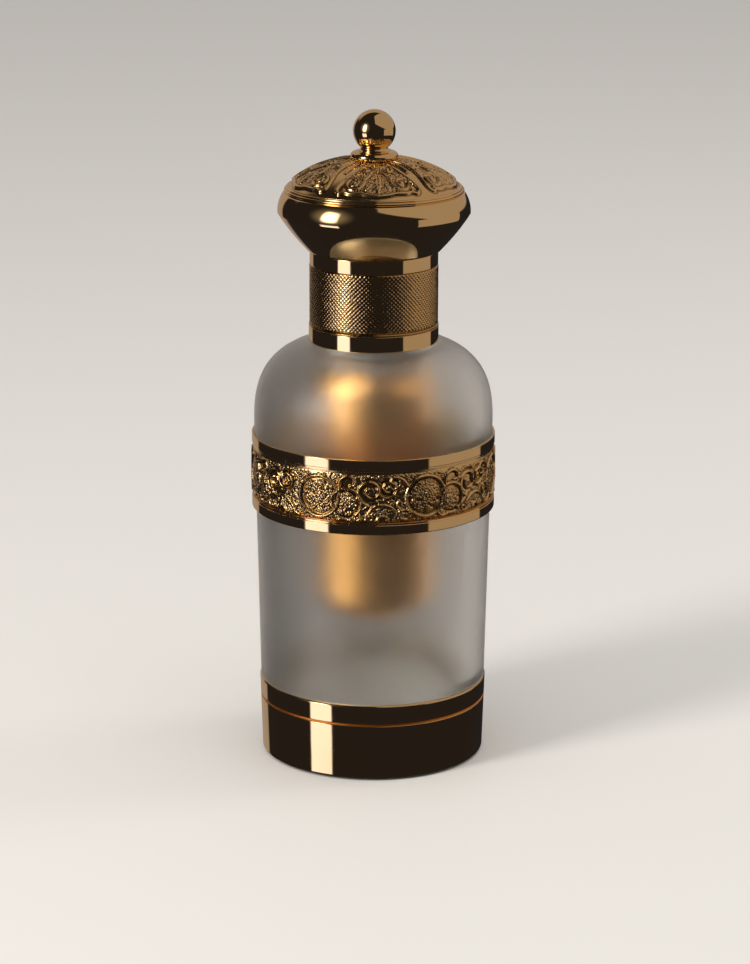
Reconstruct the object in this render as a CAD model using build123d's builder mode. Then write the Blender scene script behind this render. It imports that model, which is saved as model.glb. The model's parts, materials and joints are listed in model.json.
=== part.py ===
from build123d import *

import os
from math import acos, asin, cos, degrees, sin, sqrt

# Refillable perfume bottle. Millimetres, +Z up the bottle's axis, origin at the centre of the foot.
# A gold inner bottle hangs by its neck inside a frosted outer glass. The knurled collar screws on
# that neck and holds the pump, and the mushroom cap pulls off the collar's spigot.

# Clearances and edge sizes that many pieces share.
gap = 0.05
loose_gap = 0.1
slip_fit = 0.02
fine_edge = 0.15
wide_edge = 0.3

# Base: metal cup, plastic plug and foot pad.
pad_radius = 20.0
pad_top = 1.0
base_low = 0.4
base_high = 15.24
base_low_radius = 21.65
base_high_radius = 22.12
base_bore = 21.0
base_floor = 1.8
groove_height = 11.3
groove_size = 0.18
base_lip = 0.12
plug_radius = 20.85
plug_floor_top = 4.4
plug_ring_top = 12.0
plug_ring_thickness = 2.0

# Outer glass: straight taper up to the shoulder, which is a superellipse about shoulder_centre.
glass_foot = 4.5
glass_step = 15.35
tenon_radius = 20.9
tenon_bore = 18.3
glass_low_radius = 21.93
shoulder_height = 66.45
shoulder_radius = 23.04
shoulder_centre = 4.06
shoulder_rise = 16.35
shoulder_power = 2.66
glass_wall = 2.6
glass_top = 82.05
glass_land_radius = 12.5
glass_hole = 9.3
seat_height = 79.3
seat_radius = 12.2

# Ornamental band.
band_low = 49.68
band_high = 64.17
hoop_height = 2.2
hoop_radius = 23.5
relief_radius = 23.45
relief_edge = 0.05

# Inner bottle.
bottle_radius = 12.0
bottle_low = 28.4
bottle_wall = 1.5
bottle_floor = 2.0
heel_radius = 5.8
bottle_shoulder_radius = 5.5
bottle_shoulder_height = 72.8
bottle_shoulder_turn = 0.7
neck_radius = 8.0
neck_bore = 5.2
neck_top = 94.5
thread_lead = 3.0
thread_turns = 1.5
thread_low = 87.0
thread_height = 0.75
thread_sink = 0.1
thread_root_width = 1.7
thread_crest_width = 0.6
washer_radius = 9.8
nut_radius = 10.2
nut_height = 2.1
nut_edge = 0.2

# Collar.
collar_low = 82.15
collar_radius = 12.28
lower_ring_radius = 12.45
lower_ring_top = 85.2
knurl_top = 97.09
collar_top = 99.8
sleeve_bore = 11.45
core_radius = 11.4
core_bore = 9.0
web_low = 96.7
web_high = 98.0
web_hole = 5.4
well_radius = 8.3
spigot_radius = 10.9
spigot_top = 103.6
grip_groove_low = 101.2
grip_groove_height = 1.0
grip_groove_depth = 0.6
lower_ring_lip = 0.45
upper_ring_lip = 0.65
nut_side_room = 0.3
nut_head_room = 0.4
spigot_edge = 0.4
sleeve_edge = 0.1

# Pump.
gasket_height = 1.0
gasket_radius = 7.5
flange_radius = 7.6
flange_height = 1.1
housing_radius = 4.3
chamber_radius = 3.3
chamber_low = 83.0
ball_seat = 80.5
seat_hole = 0.7
ball_radius = 1.1
ball_room_radius = 1.5
socket_top = 79.0
socket_low = 74.0
socket_radius = 2.3
tube_radius = 1.5
tube_bore = 1.0
tube_low = 31.5
pickup_bead_radius = 4.8
pickup_bead_land = 0.4
pickup_bead_height = 0.9
housing_foot_rise = 0.8
turret_radius = 5.2
turret_top = 100.2
turret_edge = 1.2
guide_radius = 3.2
guide_low = 94.3
stem_radius = 1.6
stem_bore = 0.8
stem_low = 91.8
stem_top = 107.9
stem_edge = 0.2
piston_radius = 3.25
piston_low = 91.5
piston_top = 94.0
piston_seal = 0.6
piston_waist = 0.35
piston_neck_radius = 2.2
piston_lip_radius = 2.6
piston_foot_radius = 2.9
piston_cup_depth = 0.5
spring_radius = 2.4
spring_wire = 0.3
spring_turns = 5

# Actuator.
button_radius = 7.25
button_low = 102.7
button_top = 112.85
button_skirt_bore = 6.3
button_ceiling = 105.0
skin_radius = 7.75
skin_bore = 7.3
skin_low = 102.9
skin_top = 113.25
skin_edge = 0.8
button_edge = 0.6
button_dip = 0.4
dish_depth = 0.3
nozzle_height = 109.3
nozzle_radius = 1.7
nozzle_length = 2.0
nozzle_window = 1.95
nozzle_stand = 0.15
nozzle_fit = 0.03
orifice_radius = 0.25
duct_radius = 0.6

# Cap: bowl below the equator, dome above it, with a double bead between them.
cap_low = 99.9
cap_radius = 18.39
equator = 107.38
dome_rise = 9.94
bowl_drop = 15.2
bowl_power = 1.32
shell_wall = 0.8
bowl_mouth = 12.7
bowl_lip = 0.6
bead_land = 0.45
bead_skirt = 0.3
dome_lip = 0.4
bead_outer_radius = 17.05
bead_inner_radius = 16.3
bead_size = 0.27
liner_radius = 11.8
liner_bore = 11.0
liner_step = 104.2
liner_upper_bore = 8.6
liner_ceiling = 113.7
liner_top = 114.6
liner_crown_radius = 9.8
liner_crown_low = 112.5
weight_bore = 11.9
weight_radius = 16.4
weight_low = 103.2
weight_high = 109.0
weight_edge = 1.9
weight_edge_height = 2.8

# Finial.
disc_radius = 4.55
disc_low = 117.14
disc_top = 118.7
disc_under = 0.5
disc_land = 1.4
disc_hollow = 0.22
finial_ball_radius = 4.06
finial_ball_height = 122.5
waist_radius = 2.6
foot_flare = 0.5
foot_rise = 0.45
stud_radius = 1.0
stud_low = 115.0
nut_flats = 4.2
finial_nut_low = 115.05
finial_nut_high = 116.25


def glass_radius(height):
    """Outer radius of the outer glass's straight wall."""
    share = (height - glass_step) / (shoulder_height - glass_step)
    return glass_low_radius + (shoulder_radius - glass_low_radius) * share


def superellipse(half_width, half_height, power, end_width, steps):
    """Points of a quarter superellipse, from (half_width, 0) to where its width is end_width."""
    end_turn = acos((end_width / half_width) ** (power / 2))
    points = []
    for step in range(steps + 1):
        turn = end_turn * step / steps
        width = half_width * cos(turn) ** (2 / power)
        points.append((width, half_height * sin(turn) ** (2 / power)))
    return points


def shoulder_curve(inset, end_radius):
    """Shoulder of the outer glass, moved in by inset, as points of (radius, height)."""
    half_width = shoulder_radius - shoulder_centre - inset
    end_width = end_radius - shoulder_centre
    curve = superellipse(half_width, shoulder_rise - inset, shoulder_power, end_width, 7)
    return [(shoulder_centre + width, shoulder_height + rise) for width, rise in curve]


def bowl_curve(inset, end_radius):
    """Lower half of the cap, moved in by inset, as points of (radius, height)."""
    curve = superellipse(cap_radius - inset, bowl_drop - inset, bowl_power, end_radius, 6)
    return [(width, equator - drop) for width, drop in curve]


def dome_point(radius, inset=0.0):
    """Point of the cap's dome, moved in by inset, at a radius."""
    share = radius / (cap_radius - inset)
    return (radius, equator + (dome_rise - inset) * sqrt(1 - share**2))


def dome_arc(inset, outer_radius, inner_radius):
    """Elliptical arc of the cap's dome between two radii, rising from the outer one."""
    half_width = cap_radius - inset
    start = degrees(acos(outer_radius / half_width))
    end = degrees(acos(inner_radius / half_width))
    return EllipticalCenterArc(
        (0, equator), half_width, dome_rise - inset, start_angle=start, arc_size=end - start
    )


def ring_section(bore, radius, low, high, edge=0.0):
    """Rectangular section of a ring, with its outer corners rounded by edge."""
    with BuildSketch(Plane.XZ) as section:
        with Locations(((bore + radius) / 2, (low + high) / 2)):
            Rectangle(radius - bore, high - low)
        if edge > 0:
            fillet(section.vertices().group_by(Axis.X)[-1], edge)
    return section.sketch


def band_section(low, high, radius, edge):
    """Section of a band ring whose bore follows the glass's taper."""
    with BuildSketch(Plane.XZ) as section:
        with BuildLine():
            Polyline(
                (glass_radius(low) + gap, low),
                (radius - edge, low),
                (radius, low + edge),
                (radius, high - edge),
                (radius - edge, high),
                (glass_radius(high) + gap, high),
                close=True,
            )
        make_face()
    return section.sketch


os.makedirs("parts", exist_ok=True)

# Base.

with BuildPart() as foot_pad:
    revolve(ring_section(0, pad_radius, 0, pad_top), axis=Axis.Z)
foot_pad.part.label = "foot_pad"
export_step(foot_pad.part, "parts/foot_pad.step")

base_slope = (base_high_radius - base_low_radius) / (base_high - base_low)
groove_radius = base_low_radius + base_slope * (groove_height - base_low)
with BuildPart() as base_cup:
    with BuildSketch(Plane.XZ):
        with BuildLine():
            Polyline(
                (0, pad_top),
                (pad_radius + gap, pad_top),
                (pad_radius + gap, base_low),
                (base_low_radius - wide_edge, base_low),
                (base_low_radius, base_low + wide_edge),
                (groove_radius, groove_height - groove_size),
                (groove_radius - groove_size, groove_height),
                (groove_radius, groove_height + groove_size),
                (base_high_radius, base_high - base_lip),
                (base_high_radius - base_lip, base_high),
                (base_bore + wide_edge, base_high),
                (base_bore, base_high - wide_edge),
                (base_bore, base_floor),
                (0, base_floor),
                close=True,
            )
        make_face()
    revolve(axis=Axis.Z)
base_cup.part.label = "base_cup"
export_step(base_cup.part, "parts/base_cup.step")

plug_ring_radius = tenon_bore - loose_gap
with BuildPart() as base_plug:
    with BuildSketch(Plane.XZ):
        with BuildLine():
            Polyline(
                (0, base_floor),
                (plug_radius, base_floor),
                (plug_radius, plug_floor_top),
                (plug_ring_radius, plug_floor_top),
                (plug_ring_radius, plug_ring_top),
                (plug_ring_radius - plug_ring_thickness, plug_ring_top),
                (plug_ring_radius - plug_ring_thickness, plug_floor_top),
                (0, plug_floor_top),
                close=True,
            )
        make_face()
    revolve(axis=Axis.Z)
base_plug.part.label = "base_plug"
export_step(base_plug.part, "parts/base_plug.step")

# Outer glass.

outer_shoulder = shoulder_curve(0, glass_land_radius)
inner_shoulder = shoulder_curve(glass_wall, seat_radius)
with BuildPart() as outer_glass:
    with BuildSketch(Plane.XZ):
        with BuildLine():
            Polyline(
                inner_shoulder[0],
                (tenon_bore, glass_foot),
                (tenon_radius, glass_foot),
                (tenon_radius, glass_step),
                (glass_low_radius - fine_edge, glass_step),
                (glass_low_radius, glass_step + fine_edge),
                outer_shoulder[0],
            )
            Spline(*outer_shoulder, tangents=((0.02, 1), (-1, 0.1)))
            Polyline(
                outer_shoulder[-1],
                (glass_land_radius - wide_edge, glass_top),
                (glass_hole, glass_top),
                (glass_hole, seat_height),
                inner_shoulder[-1],
            )
            Spline(*inner_shoulder, tangents=((0.02, 1), (-1, 0.2)))
        make_face()
    revolve(axis=Axis.Z)
outer_glass.part.label = "outer_glass"
export_step(outer_glass.part, "parts/outer_glass.step")

# Ornamental band.

relief_low = band_low + hoop_height
relief_high = band_high - hoop_height

with BuildPart() as band_lower_hoop:
    revolve(band_section(band_low, relief_low, hoop_radius, fine_edge), axis=Axis.Z)
band_lower_hoop.part.label = "band_lower_hoop"
export_step(band_lower_hoop.part, "parts/band_lower_hoop.step")

with BuildPart() as band_relief:
    revolve(band_section(relief_low, relief_high, relief_radius, relief_edge), axis=Axis.Z)
band_relief.part.label = "band_relief"
export_step(band_relief.part, "parts/band_relief.step")

with BuildPart() as band_upper_hoop:
    revolve(band_section(relief_high, band_high, hoop_radius, fine_edge), axis=Axis.Z)
band_upper_hoop.part.label = "band_upper_hoop"
export_step(band_upper_hoop.part, "parts/band_upper_hoop.step")

# Inner bottle: rounded heel and shoulder, threaded neck.

arc_centre = bottle_radius - bottle_shoulder_radius
neck_low = bottle_shoulder_height + sqrt(bottle_shoulder_radius**2 - (neck_radius - arc_centre) ** 2)
cavity_radius = bottle_radius - bottle_wall
cavity_low = bottle_low + bottle_floor
cavity_shoulder_radius = bottle_shoulder_radius - bottle_wall
cavity_top = bottle_shoulder_height + cavity_shoulder_radius
cavity_heel_radius = heel_radius - bottle_wall

with BuildPart() as inner_bottle:
    with BuildSketch(Plane.XZ):
        with BuildLine():
            Line((0, bottle_low), (bottle_radius - heel_radius, bottle_low))
            CenterArc((bottle_radius - heel_radius, bottle_low + heel_radius), heel_radius, -90, 90)
            Line((bottle_radius, bottle_low + heel_radius), (bottle_radius, bottle_shoulder_height))
            ThreePointArc(
                (bottle_radius, bottle_shoulder_height),
                (
                    arc_centre + bottle_shoulder_radius * cos(bottle_shoulder_turn),
                    bottle_shoulder_height + bottle_shoulder_radius * sin(bottle_shoulder_turn),
                ),
                (neck_radius, neck_low),
            )
            Polyline(
                (neck_radius, neck_low),
                (neck_radius, neck_top - wide_edge),
                (neck_radius - wide_edge, neck_top),
                (neck_bore, neck_top),
                (neck_bore, cavity_top),
                (arc_centre, cavity_top),
            )
            CenterArc((arc_centre, bottle_shoulder_height), cavity_shoulder_radius, 0, 90)
            Line((cavity_radius, bottle_shoulder_height), (cavity_radius, cavity_low + cavity_heel_radius))
            CenterArc(
                (cavity_radius - cavity_heel_radius, cavity_low + cavity_heel_radius),
                cavity_heel_radius,
                -90,
                90,
            )
            Polyline(
                (cavity_radius - cavity_heel_radius, cavity_low),
                (0, cavity_low),
                (0, bottle_low),
            )
        make_face()
    revolve(axis=Axis.Z)
    with BuildLine(mode=Mode.PRIVATE) as thread_path:
        thread_rise = thread_lead * thread_turns
        Helix(thread_lead, thread_rise, neck_radius - thread_sink, center=(0, 0, thread_low))
    thread_start = Plane(thread_path.line @ 0, x_dir=(1, 0, 0), z_dir=thread_path.line % 0)
    with BuildSketch(thread_start):
        with BuildLine():
            Polyline(
                (-fine_edge, -thread_root_width / 2),
                (thread_sink + thread_height, -thread_crest_width / 2),
                (thread_sink + thread_height, thread_crest_width / 2),
                (-fine_edge, thread_root_width / 2),
                close=True,
            )
        make_face()
    sweep(path=thread_path.line, is_frenet=True)
inner_bottle.part.label = "inner_bottle"
export_step(inner_bottle.part, "parts/inner_bottle.step")

washer_bore = neck_radius + gap
washer_curve = bottle_shoulder_radius + gap
washer_start = degrees(acos((washer_radius - arc_centre) / washer_curve))
washer_turn = degrees(acos((washer_bore - arc_centre) / washer_curve)) - washer_start
with BuildPart() as neck_washer:
    with BuildSketch(Plane.XZ):
        with BuildLine():
            underside = CenterArc(
                (arc_centre, bottle_shoulder_height), washer_curve, washer_start, washer_turn
            )
            Polyline(underside @ 1, (washer_bore, seat_height), (washer_radius, seat_height), underside @ 0)
        make_face()
    revolve(axis=Axis.Z)
neck_washer.part.label = "neck_washer"
export_step(neck_washer.part, "parts/neck_washer.step")

with BuildPart() as neck_nut:
    nut_top = glass_top + nut_height
    revolve(ring_section(neck_radius + gap, nut_radius, glass_top, nut_top, nut_edge), axis=Axis.Z)
neck_nut.part.label = "neck_nut"
export_step(neck_nut.part, "parts/neck_nut.step")

# Collar: plastic closure inside three metal sleeves.

core_low = collar_low + lower_ring_lip
core_shoulder = collar_top - upper_ring_lip
recess_radius = nut_radius + nut_side_room
recess_top = glass_top + nut_height + nut_head_room
with BuildPart() as collar_core:
    with BuildSketch(Plane.XZ):
        with BuildLine():
            Polyline(
                (recess_radius, core_low),
                (core_radius, core_low),
                (core_radius, core_shoulder),
                (spigot_radius, core_shoulder),
                (spigot_radius, grip_groove_low),
                (spigot_radius - grip_groove_depth, grip_groove_low),
                (spigot_radius - grip_groove_depth, grip_groove_low + grip_groove_height),
                (spigot_radius, grip_groove_low + grip_groove_height),
                (spigot_radius, spigot_top - spigot_edge),
                (spigot_radius - spigot_edge, spigot_top),
                (well_radius, spigot_top),
                (well_radius, web_high),
                (web_hole, web_high),
                (web_hole, web_low),
                (core_bore, web_low),
                (core_bore, recess_top),
                (recess_radius, recess_top),
                close=True,
            )
        make_face()
    revolve(axis=Axis.Z)
collar_core.part.label = "collar_core"
export_step(collar_core.part, "parts/collar_core.step")

with BuildPart() as collar_lower_ring:
    with BuildSketch(Plane.XZ):
        with BuildLine():
            Polyline(
                (recess_radius, collar_low),
                (lower_ring_radius - fine_edge, collar_low),
                (lower_ring_radius, collar_low + fine_edge),
                (lower_ring_radius, lower_ring_top - fine_edge),
                (lower_ring_radius - fine_edge, lower_ring_top),
                (sleeve_bore, lower_ring_top),
                (sleeve_bore, core_low - gap),
                (recess_radius, core_low - gap),
                close=True,
            )
        make_face()
    revolve(axis=Axis.Z)
collar_lower_ring.part.label = "collar_lower_ring"
export_step(collar_lower_ring.part, "parts/collar_lower_ring.step")

with BuildPart() as knurled_sleeve:
    sleeve_section = ring_section(sleeve_bore, collar_radius, lower_ring_top, knurl_top, sleeve_edge)
    revolve(sleeve_section, axis=Axis.Z)
knurled_sleeve.part.label = "knurled_sleeve"
export_step(knurled_sleeve.part, "parts/knurled_sleeve.step")

with BuildPart() as collar_upper_ring:
    with BuildSketch(Plane.XZ):
        with BuildLine():
            Polyline(
                (sleeve_bore, knurl_top),
                (collar_radius - sleeve_edge, knurl_top),
                (collar_radius, knurl_top + sleeve_edge),
                (collar_radius, collar_top - fine_edge),
                (collar_radius - fine_edge, collar_top),
                (spigot_radius + gap, collar_top),
                (spigot_radius + gap, core_shoulder + gap),
                (sleeve_bore, core_shoulder + gap),
                close=True,
            )
        make_face()
    revolve(axis=Axis.Z)
collar_upper_ring.part.label = "collar_upper_ring"
export_step(collar_upper_ring.part, "parts/collar_upper_ring.step")

with BuildPart() as cap_grip_ring:
    grip_bore = spigot_radius - grip_groove_depth + slip_fit
    grip_low = grip_groove_low + gap
    grip_high = grip_groove_low + grip_groove_height - gap
    grip_radius = liner_bore - 2 * slip_fit
    revolve(ring_section(grip_bore, grip_radius, grip_low, grip_high, wide_edge), axis=Axis.Z)
cap_grip_ring.part.label = "cap_grip_ring"
export_step(cap_grip_ring.part, "parts/cap_grip_ring.step")

# Pump. The bead on the housing meets the gasket when the collar is unscrewed, and lifts it out.

flange_low = neck_top + gasket_height
flange_high = flange_low + flange_height
pickup_bead_top = neck_top - thread_lead * thread_turns - loose_gap

with BuildPart() as pump_gasket:
    revolve(ring_section(housing_radius + 2 * loose_gap, gasket_radius, neck_top, flange_low), axis=Axis.Z)
pump_gasket.part.label = "pump_gasket"
export_step(pump_gasket.part, "parts/pump_gasket.step")

with BuildPart() as pump_housing:
    with BuildSketch(Plane.XZ):
        with BuildLine():
            Polyline(
                (chamber_radius, flange_high),
                (flange_radius, flange_high),
                (flange_radius, flange_low),
                (housing_radius, flange_low),
                (housing_radius, pickup_bead_top),
                (pickup_bead_radius, pickup_bead_top),
                (pickup_bead_radius, pickup_bead_top - pickup_bead_land),
                (housing_radius, pickup_bead_top - pickup_bead_height),
                (housing_radius, ball_seat + housing_foot_rise),
                (socket_radius, socket_top),
                (socket_radius, socket_low),
                (tube_radius + slip_fit, socket_low),
                (tube_radius + slip_fit, socket_top),
                (seat_hole, socket_top),
                (seat_hole, ball_seat),
                (ball_room_radius, ball_seat),
                (ball_room_radius, chamber_low),
                (chamber_radius, chamber_low),
                close=True,
            )
        make_face()
    revolve(axis=Axis.Z)
pump_housing.part.label = "pump_housing"
export_step(pump_housing.part, "parts/pump_housing.step")

with BuildPart() as pump_turret:
    with BuildSketch(Plane.XZ):
        with BuildLine():
            Polyline(
                (stem_radius + loose_gap, guide_low),
                (guide_radius, guide_low),
                (guide_radius, flange_high + gap),
                (turret_radius, flange_high + gap),
                (turret_radius, turret_top - turret_edge),
                (turret_radius - turret_edge, turret_top),
                (stem_radius + loose_gap, turret_top),
                close=True,
            )
        make_face()
    revolve(axis=Axis.Z)
pump_turret.part.label = "pump_turret"
export_step(pump_turret.part, "parts/pump_turret.step")

with BuildPart() as dip_tube:
    revolve(ring_section(tube_bore, tube_radius, tube_low, socket_top - gap), axis=Axis.Z)
dip_tube.part.label = "dip_tube"
export_step(dip_tube.part, "parts/dip_tube.step")

ball_centre = ball_seat + sqrt(ball_radius**2 - seat_hole**2) + slip_fit
with BuildPart() as check_ball:
    with Locations((0, 0, ball_centre)):
        Sphere(ball_radius)
check_ball.part.label = "check_ball"
export_step(check_ball.part, "parts/check_ball.step")

with BuildPart() as pump_stem:
    revolve(ring_section(stem_bore, stem_radius, stem_low, stem_top, stem_edge), axis=Axis.Z)
pump_stem.part.label = "pump_stem"
export_step(pump_stem.part, "parts/pump_stem.step")

with BuildPart() as pump_piston:
    with BuildSketch(Plane.XZ):
        with BuildLine():
            Polyline(
                (stem_radius + slip_fit / 2, piston_top),
                (piston_neck_radius, piston_top),
                (piston_lip_radius, piston_top - piston_cup_depth),
                (piston_radius, piston_top - loose_gap),
                (piston_radius, piston_top - loose_gap - piston_seal),
                (piston_radius - piston_waist, (piston_low + piston_top) / 2),
                (piston_radius, piston_low + loose_gap + piston_seal),
                (piston_radius, piston_low + loose_gap),
                (piston_foot_radius, piston_low),
                (stem_bore, piston_low),
                (stem_bore, stem_low - slip_fit),
                (stem_radius + slip_fit / 2, stem_low - slip_fit),
                close=True,
            )
        make_face()
    revolve(axis=Axis.Z)
pump_piston.part.label = "pump_piston"
export_step(pump_piston.part, "parts/pump_piston.step")

spring_low = chamber_low + gap + spring_wire
spring_height = piston_low - gap - spring_wire - spring_low
with BuildPart() as pump_spring:
    with BuildLine(mode=Mode.PRIVATE) as coil:
        Helix(spring_height / spring_turns, spring_height, spring_radius, center=(0, 0, spring_low))
    with BuildSketch(Plane(coil.line @ 0, x_dir=(1, 0, 0), z_dir=coil.line % 0)):
        Circle(spring_wire)
    sweep(path=coil.line, is_frenet=True)
pump_spring.part.label = "pump_spring"
export_step(pump_spring.part, "parts/pump_spring.step")

# Actuator: plastic button in a metal skin, with the spray nozzle facing -Y.

nozzle_axis = Plane(origin=(0, 0, nozzle_height), x_dir=(1, 0, 0), z_dir=(0, -1, 0))
nozzle_face = button_radius + nozzle_stand
nozzle_back = nozzle_face - nozzle_length

with BuildPart() as actuator_core:
    with BuildSketch(Plane.XZ):
        with BuildLine():
            Polyline(
                (button_skirt_bore, button_low),
                (button_radius, button_low),
                (button_radius, button_top - button_edge),
                (button_radius - button_edge, button_top),
                (0, button_top - button_dip),
                (0, stem_top + loose_gap),
                (stem_radius + gap, stem_top + loose_gap),
                (stem_radius + gap, button_ceiling),
                (button_skirt_bore, button_ceiling),
                close=True,
            )
        make_face()
    revolve(axis=Axis.Z)
    with BuildSketch(nozzle_axis.offset(nozzle_back - gap)):
        Circle(nozzle_radius + nozzle_fit)
    extrude(amount=2 * nozzle_length, mode=Mode.SUBTRACT)
    with BuildSketch(nozzle_axis):
        Circle(duct_radius)
    extrude(amount=nozzle_back, mode=Mode.SUBTRACT)
    with BuildSketch(Plane.XY.offset(stem_top)):
        Circle(duct_radius)
    extrude(amount=nozzle_height - stem_top, mode=Mode.SUBTRACT)
actuator_core.part.label = "actuator_core"
export_step(actuator_core.part, "parts/actuator_core.step")

dish_reach = skin_radius - skin_edge
dish_radius = (dish_reach**2 + dish_depth**2) / (2 * dish_depth)
dish_turn = degrees(asin(dish_reach / dish_radius))
with BuildPart() as actuator_skin:
    with BuildSketch(Plane.XZ):
        with BuildLine():
            Line((skin_bore, skin_low), (skin_radius, skin_low))
            Line((skin_radius, skin_low), (skin_radius, skin_top - skin_edge))
            CenterArc((skin_radius - skin_edge, skin_top - skin_edge), skin_edge, 0, 90)
            CenterArc((0, skin_top - dish_depth + dish_radius), dish_radius, -90, dish_turn)
            Polyline(
                (0, skin_top - dish_depth),
                (0, button_top - button_dip + gap),
                (button_radius - button_edge, button_top + gap),
                (skin_bore, button_top - button_edge + gap),
                (skin_bore, skin_low),
            )
        make_face()
    revolve(axis=Axis.Z)
    with BuildSketch(nozzle_axis.offset(nozzle_back)):
        Circle(nozzle_window)
    extrude(amount=2 * nozzle_length, mode=Mode.SUBTRACT)
actuator_skin.part.label = "actuator_skin"
export_step(actuator_skin.part, "parts/actuator_skin.step")

with BuildPart() as spray_nozzle:
    with BuildSketch(nozzle_axis.offset(nozzle_back)):
        Circle(nozzle_radius)
        Circle(orifice_radius, mode=Mode.SUBTRACT)
    extrude(amount=nozzle_length)
spray_nozzle.part.label = "spray_nozzle"
export_step(spray_nozzle.part, "parts/spray_nozzle.step")

# Cap.

with BuildPart() as cap_liner:
    with BuildSketch(Plane.XZ):
        with BuildLine():
            Polyline(
                (liner_bore + wide_edge, cap_low),
                (liner_radius, cap_low),
                (liner_radius, liner_crown_low),
                (liner_crown_radius, liner_top),
                (0, liner_top),
                (0, liner_ceiling),
                (liner_upper_bore, liner_ceiling),
                (liner_upper_bore, liner_step),
                (liner_bore, liner_step),
                (liner_bore, cap_low + wide_edge),
                close=True,
            )
        make_face()
    revolve(axis=Axis.Z)
cap_liner.part.label = "cap_liner"
export_step(cap_liner.part, "parts/cap_liner.step")

with BuildPart() as cap_weight:
    with BuildSketch(Plane.XZ):
        with BuildLine():
            Polyline(
                (weight_bore, weight_low),
                (weight_radius - weight_edge, weight_low),
                (weight_radius, weight_low + weight_edge_height),
                (weight_radius, weight_high),
                (weight_bore, weight_high),
                close=True,
            )
        make_face()
    revolve(axis=Axis.Z)
cap_weight.part.label = "cap_weight"
export_step(cap_weight.part, "parts/cap_weight.step")

bowl_outside = bowl_curve(0, bowl_mouth)
bowl_inside = bowl_curve(shell_wall, bowl_mouth + bowl_lip)
bowl_bore = liner_radius + gap
bead_inside_radius = bead_outer_radius - bead_land
with BuildPart() as cap_bowl:
    with BuildSketch(Plane.XZ):
        with BuildLine():
            Spline(*bowl_outside, tangents=((0, -1), (-1, -0.92)))
            Polyline(
                bowl_outside[-1],
                (bowl_bore, bowl_outside[-1][1]),
                (bowl_bore, bowl_inside[-1][1]),
                bowl_inside[-1],
            )
            Spline(*bowl_inside, tangents=((0, -1), (-1, -1)))
            dome_arc(0, cap_radius, bead_outer_radius)
            Line(dome_point(bead_outer_radius), dome_point(bead_inside_radius, shell_wall))
            dome_arc(shell_wall, cap_radius - shell_wall, bead_inside_radius)
        make_face()
    revolve(axis=Axis.Z)
cap_bowl.part.label = "cap_bowl"
export_step(cap_bowl.part, "parts/cap_bowl.step")

dome_hole = stud_radius + loose_gap
with BuildPart() as cap_dome:
    with BuildSketch(Plane.XZ):
        with BuildLine():
            dome_arc(0, bead_inner_radius, dome_hole)
            Line(dome_point(dome_hole), dome_point(dome_hole, shell_wall))
            dome_arc(shell_wall, bead_inner_radius - dome_lip, dome_hole)
            Line(dome_point(bead_inner_radius), dome_point(bead_inner_radius - dome_lip, shell_wall))
        make_face()
    revolve(axis=Axis.Z)
cap_dome.part.label = "cap_dome"
export_step(cap_dome.part, "parts/cap_dome.step")

bead_points = [dome_point(bead_outer_radius - 2 * loose_gap), dome_point(bead_inner_radius + 2 * loose_gap)]
with BuildPart() as cap_bead:
    with BuildSketch(Plane.XZ):
        with Locations(*bead_points):
            Circle(bead_size)
        with BuildLine():
            Polyline(
                dome_point(bead_outer_radius - gap),
                dome_point(bead_inner_radius + gap),
                dome_point(bead_inner_radius - bead_skirt, shell_wall),
                dome_point(bead_inside_radius - gap, shell_wall),
                close=True,
            )
        make_face()
    revolve(axis=Axis.Z)
cap_bead.part.label = "cap_bead"
export_step(cap_bead.part, "parts/cap_bead.step")

# Finial.

with BuildPart() as finial_flange:
    with BuildSketch(Plane.XZ):
        with BuildLine():
            Polyline(
                (disc_radius - disc_under, disc_low),
                (dome_hole, disc_low + disc_hollow),
                (dome_hole, disc_top),
                (disc_radius - disc_land, disc_top),
            )
            Spline(
                (disc_radius - disc_land, disc_top),
                (disc_radius, (disc_low + disc_top) / 2 - loose_gap),
                (disc_radius - disc_under, disc_low),
                tangents=((1, 0), (-1, -0.3)),
            )
        make_face()
    revolve(axis=Axis.Z)
finial_flange.part.label = "finial_flange"
export_step(finial_flange.part, "parts/finial_flange.step")

waist_angle = -degrees(acos(waist_radius / finial_ball_radius))
with BuildPart() as finial_ball:
    with BuildSketch(Plane.XZ):
        with BuildLine():
            ball_arc = CenterArc((0, finial_ball_height), finial_ball_radius, waist_angle, 90 - waist_angle)
            foot_curve = Spline(
                ball_arc @ 0,
                (waist_radius + gap, disc_top + foot_rise),
                (waist_radius + foot_flare, disc_top),
                tangents=((-0.1, -1), (1, -0.4)),
            )
            Polyline(
                foot_curve @ 1,
                (stud_radius, disc_top),
                (stud_radius, stud_low),
                (0, stud_low),
                ball_arc @ 1,
            )
        make_face()
    revolve(axis=Axis.Z)
finial_ball.part.label = "finial_ball"
export_step(finial_ball.part, "parts/finial_ball.step")

with BuildPart() as finial_nut:
    with BuildSketch(Plane.XY.offset(finial_nut_low)):
        RegularPolygon(nut_flats / 2, 6, major_radius=False)
        Circle(stud_radius + nozzle_fit, mode=Mode.SUBTRACT)
    extrude(amount=finial_nut_high - finial_nut_low)
finial_nut.part.label = "finial_nut"
export_step(finial_nut.part, "parts/finial_nut.step")
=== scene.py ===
import json
import math

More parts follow.
